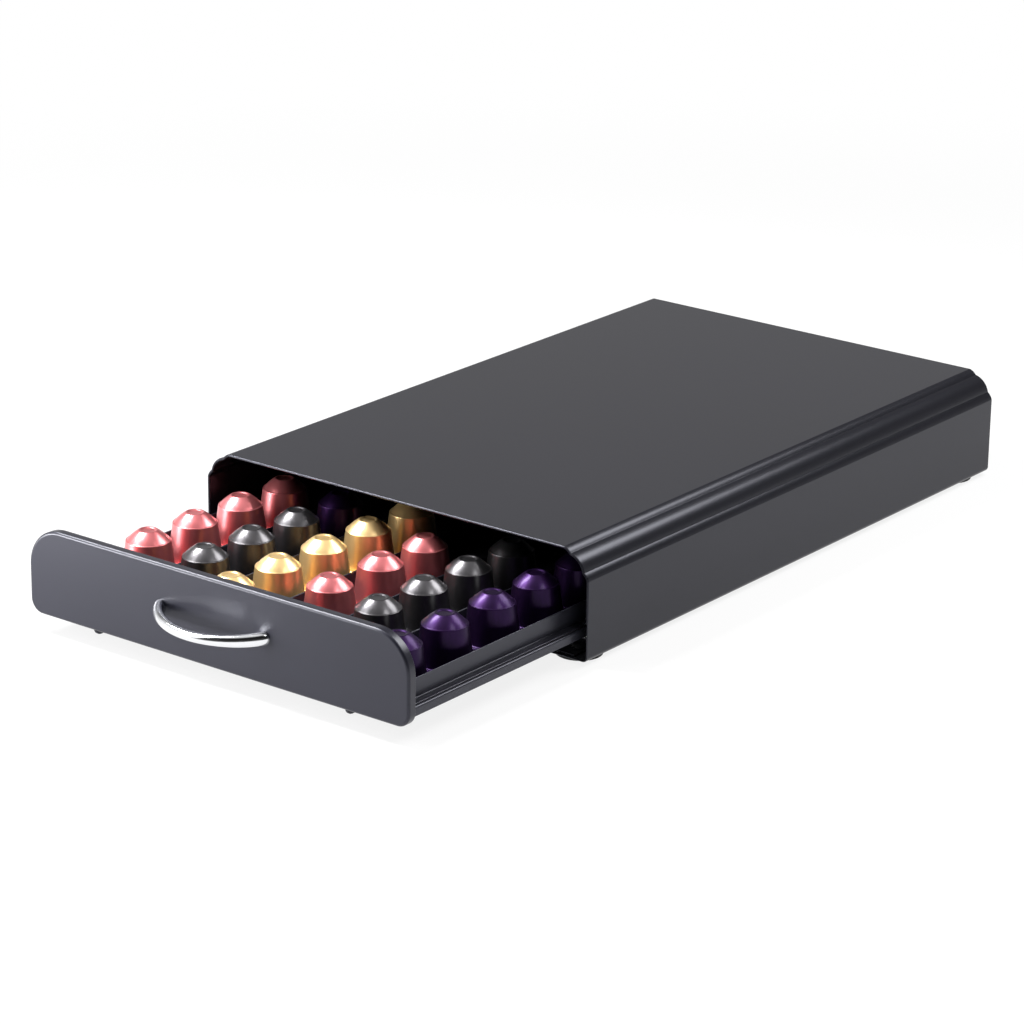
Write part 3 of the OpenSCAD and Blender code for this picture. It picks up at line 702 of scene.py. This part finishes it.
CAMERA_AZ = 37.466      # degrees, as are the next two
CAMERA_EL = 19.465
CAMERA_ROLL = 0.774
CAMERA_PLACE = (1220.32, -1687.26, 736.05)
CAMERA_LENS = 133.42
SENSOR = 36.0
CLIP_START = 10.0

FLOOR_REACH = 9.0       # metres, as are the next two
SHADOW_REACH = 0.45     # up to here only the share NEAR_GLOW is self-lit, so that shadows show
GLOW_REACH = 1.1        # from here on the floor is wholly self-lit
NEAR_GLOW = 0.85
FLOOR_SINK = 0.02       # millimetres, as is the next: how far it lies below the feet
FLOOR_TONE_SIZE = 900.0

# Name, place and target, width and height, in metres, and power in watts
LAMPS = (
    ("key_front_left", (-0.60, -1.00, 0.61), (0.0, -0.345, 0.05), (0.34, 0.80), 7.0),
    ("low_left", (-0.38, -0.64, 0.060), (-0.10, -0.345, 0.035), (0.26, 0.10), 3.0),
    ("left_above", (-0.56, -0.40, 0.86), (0.0, -0.33, 0.04), (0.20, 0.46), 20.0),
    ("right", (0.65, -0.20, 0.85), (0.0, -0.27, 0.04), (0.28, 0.28), 2.2),
    ("behind_right", (0.36, 0.36, 0.70), (0.05, -0.20, 0.05), (0.42, 0.42), 6.0),
)

# Directions from the object into the surround
FRONT_RIGHT = (0.57, -0.75, 0.33)
LEFT_WALL = (-0.85, -0.50, 0.15)


def make_camera():
    """The camera, at the front right and above."""
    az, el, roll = radians(CAMERA_AZ), radians(CAMERA_EL), radians(CAMERA_ROLL)
    back = Vector((sin(az) * cos(el), -cos(az) * cos(el), sin(el)))
    level = Vector((cos(az), sin(az), 0.0))
    rise = back.cross(level)
    right = level * cos(roll) + rise * sin(roll)
    up = rise * cos(roll) - level * sin(roll)
    data = bpy.data.cameras.new("camera")
    data.lens = CAMERA_LENS
    data.sensor_width = SENSOR
    data.clip_start = CLIP_START * MM
    camera = bpy.data.objects.new("camera", data)
    turn = Matrix((right, up, back)).transposed().to_4x4()
    camera.matrix_world = Matrix.Translation(Vector(CAMERA_PLACE) * MM) @ turn
    scene.collection.objects.link(camera)
    scene.camera = camera


def softbox(name, place, target, size, power):
    """A soft lamp at place, turned to target, which the camera doesn't see."""
    data = bpy.data.lights.new(name, "AREA")
    data.shape = "RECTANGLE"
    data.size, data.size_y = size
    data.energy = power
    lamp = bpy.data.objects.new(name, data)
    aim = Vector(target) - Vector(place)
    lamp.rotation_euler = aim.to_track_quat("-Z", "Y").to_euler()
    lamp.location = place
    lamp.visible_camera = False
    scene.collection.objects.link(lamp)


def seen_directly(tree):
    """1 for rays from the camera and for the reflections of the surround, else 0."""
    path = tree.nodes.new("ShaderNodeLightPath")
    total = path.outputs["Is Camera Ray"]
    for kind in ("Is Glossy Ray", "Is Transmission Ray"):
        total = combine(tree, "ADD", total, path.outputs[kind], clamp=True)
    return total


def vector_value(tree, operation, vector, axis=(0.0, 0.0, 0.0)):
    """The value of a vector math operation on a vector and, for a dot product, an axis."""
    node = tree.nodes.new("ShaderNodeVectorMath")
    node.operation = operation
    node.inputs[1].default_value = axis
    tree.links.new(vector, node.inputs[0])
    return node.outputs["Value"]


def floor_material():
    """White, and partly self-lit where it is seen, so that it is white and keeps its shadow."""
    mat, tree, shader, coords = blank("studio_floor")
    tones = noise(tree, coords, FLOOR_TONE_SIZE)
    shader.inputs["Roughness"].default_value = 0.8
    shader.inputs["Specular IOR Level"].default_value = 0.1
    distance = vector_value(tree, "LENGTH", coords)
    glowing = smooth_step(tree, distance, SHADOW_REACH, GLOW_REACH, NEAR_GLOW, 1.0)
    glow = tree.nodes.new("ShaderNodeEmission")
    mix = tree.nodes.new("ShaderNodeMixShader")
    link_all(
        tree,
        (two_tones(tree, tones, (0.86, 0.86, 0.86), (0.88, 0.88, 0.88)), shader.inputs["Base Color"]),
        (combine(tree, "MULTIPLY", seen_directly(tree), glowing), mix.inputs["Fac"]),
        (shader.outputs["BSDF"], mix.inputs[1]),
        (glow.outputs["Emission"], mix.inputs[2]),
        (mix.outputs["Shader"], tree.nodes["Material Output"].inputs["Surface"]),
    )
    return mat


def make_floor():
    """A wide white disc just under the feet."""
    sides = 64
    bm = bmesh.new()
    turns = [2 * pi * k / sides for k in range(sides)]
    bm.faces.new([bm.verts.new((FLOOR_REACH * cos(a), FLOOR_REACH * sin(a), 0.0)) for a in turns])
    mesh = bpy.data.meshes.new("floor")
    bm.to_mesh(mesh)
    bm.free()
    mesh.materials.append(floor_material())
    floor = bpy.data.objects.new("floor", mesh)
    floor.location.z = -FLOOR_SINK * MM
    scene.collection.objects.link(floor)


def make_world():
    """White surround: brightest at the horizon and on the left, dim where the front right lies.

    A ceiling overhead and a wall on the left stay bright, for the lights on bends and chrome.
    """
    world = bpy.data.worlds.new("studio")
    world.use_nodes = True
    scene.world = world
    tree = world.node_tree
    direction = tree.nodes.new("ShaderNodeTexCoord").outputs["Generated"]
    axes = tree.nodes.new("ShaderNodeSeparateXYZ")
    tree.links.new(direction, axes.inputs[0])
    to_front_right = vector_value(tree, "DOT_PRODUCT", direction, FRONT_RIGHT)
    to_left_wall = vector_value(tree, "DOT_PRODUCT", direction, LEFT_WALL)
    # Each step names where it begins and ends, and the strength before and after it
    horizon = smooth_step(tree, axes.outputs["Z"], 0.0, 0.55, 1.0, 0.12)
    left_side = smooth_step(tree, axes.outputs["X"], -0.9, 0.5, 1.0, 0.4)
    room = smooth_step(tree, to_front_right, -0.2, 0.4, 1.0, 0.17)
    ceiling = smooth_step(tree, axes.outputs["Z"], 0.82, 0.98, 0.0, 0.8)
    wall = smooth_step(tree, to_left_wall, 0.72, 0.92, 0.0, 1.0)
    strength = combine(tree, "MULTIPLY", combine(tree, "MULTIPLY", horizon, left_side), room)
    for bright in (ceiling, wall):
        strength = combine(tree, "MAXIMUM", strength, bright)
    background = tree.nodes["Background"]
    background.inputs["Color"].default_value = (1.0, 1.0, 1.0, 1.0)
    tree.links.new(strength, background.inputs["Strength"])


make_camera()
make_floor()
make_world()
for lamp in LAMPS:
    softbox(*lamp)

scene.view_settings.view_transform = "Standard"
